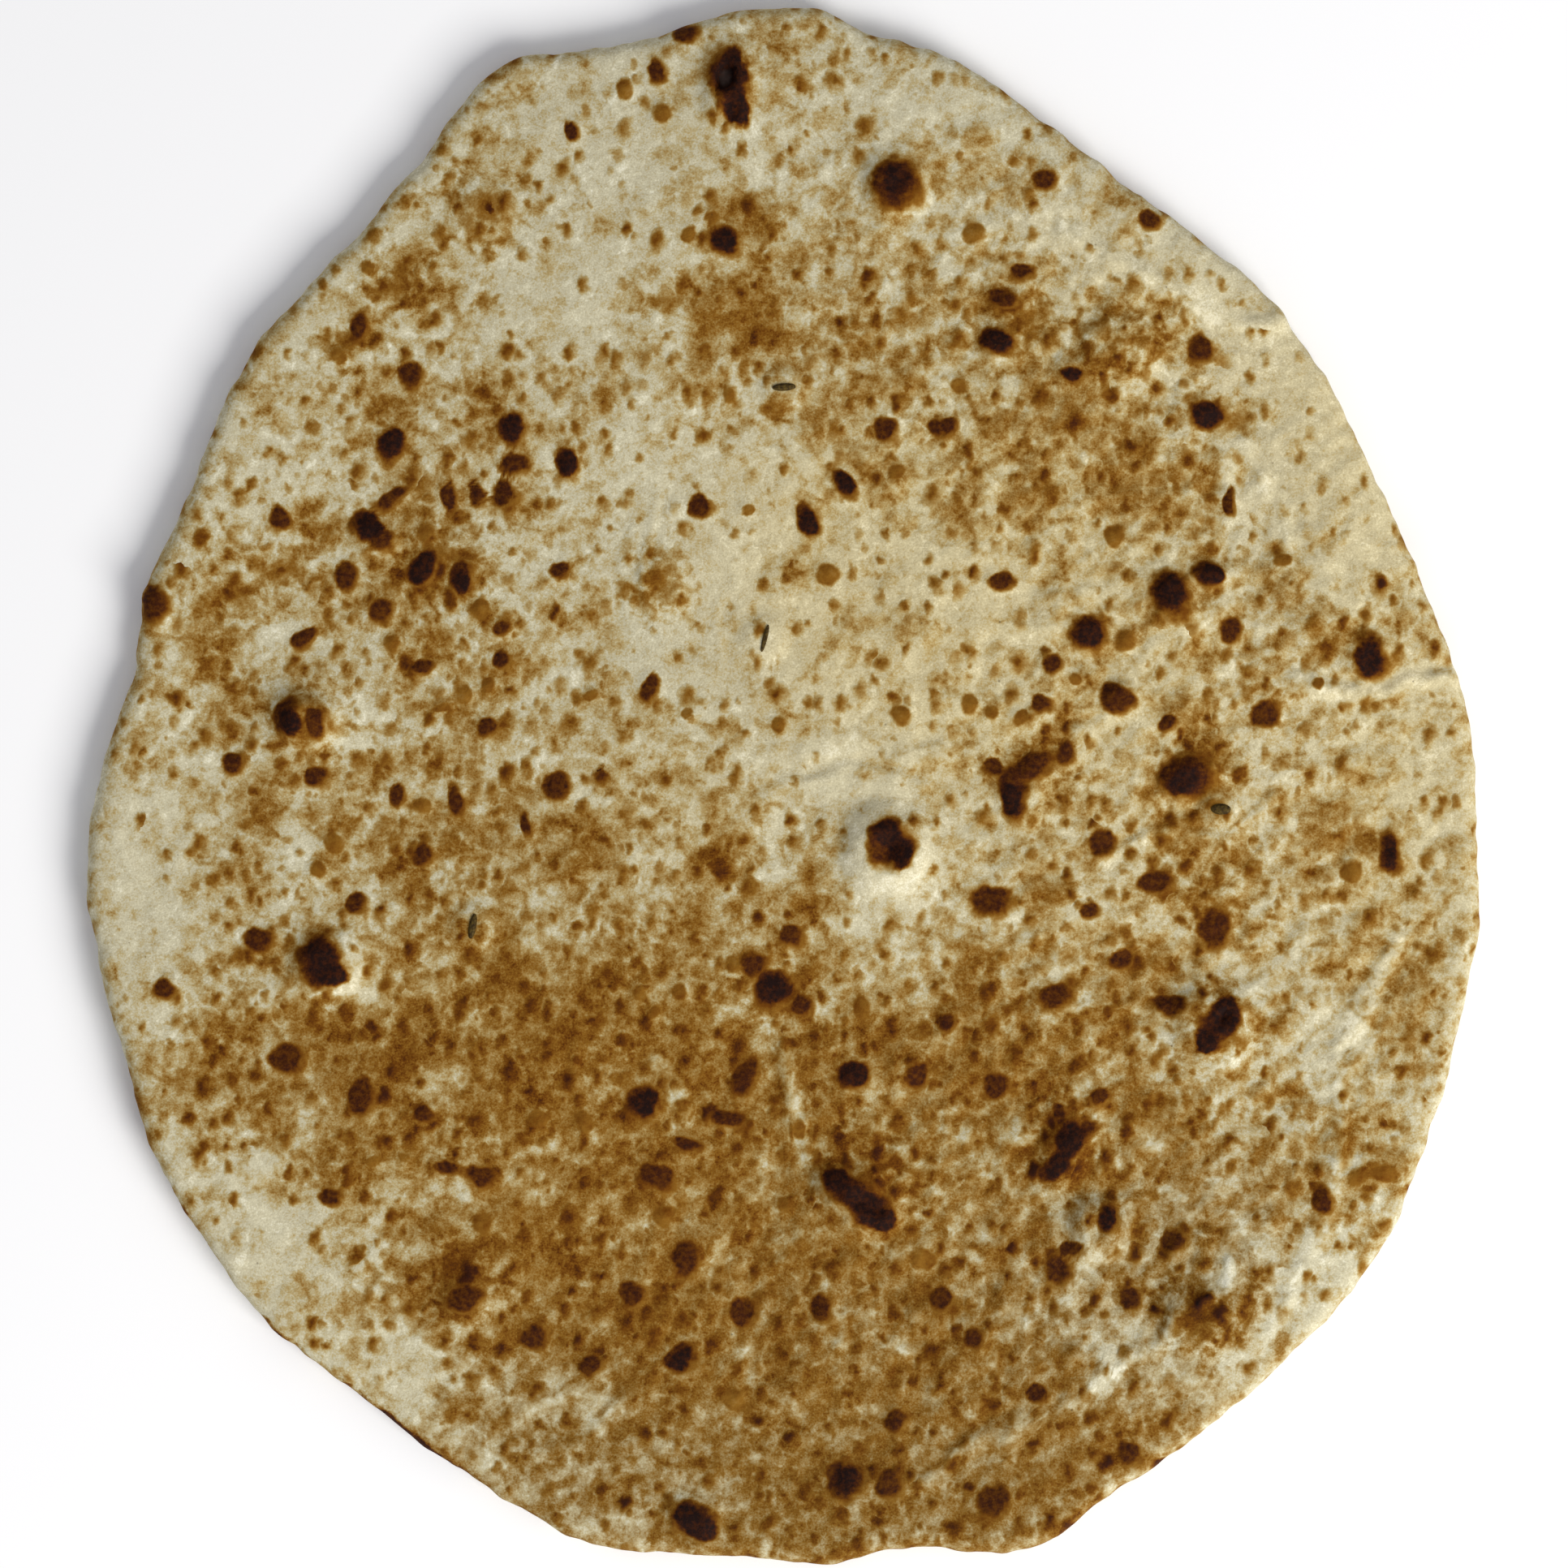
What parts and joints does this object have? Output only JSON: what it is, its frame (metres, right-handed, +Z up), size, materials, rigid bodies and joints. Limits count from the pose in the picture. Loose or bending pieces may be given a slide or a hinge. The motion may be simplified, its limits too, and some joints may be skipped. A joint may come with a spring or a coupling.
{
  "type": "naan bread",
  "caption": "Whole oval flatbread with a blistered, toasted crust and a thin rounded edge, lying flat on its baked underside.",
  "frame": {"origin": "centre of the bread's bounding box at the level of its flat underside, where it rests on a table or plate", "axes": "+Y along the bread towards its narrower end, +X across it to the right when it is seen from above, +Z up out of the toasted crust"},
  "size_m": [0.25, 0.28, 0.0091],
  "materials": {
    "crust": "matte",
    "seed": "matte"
  },
  "bodies": {
    "root": {"naan": "crust", "seed_upper": "seed", "seed_centre": "seed", "seed_left": "seed", "seed_right": "seed"}
  },
  "joints": []
}
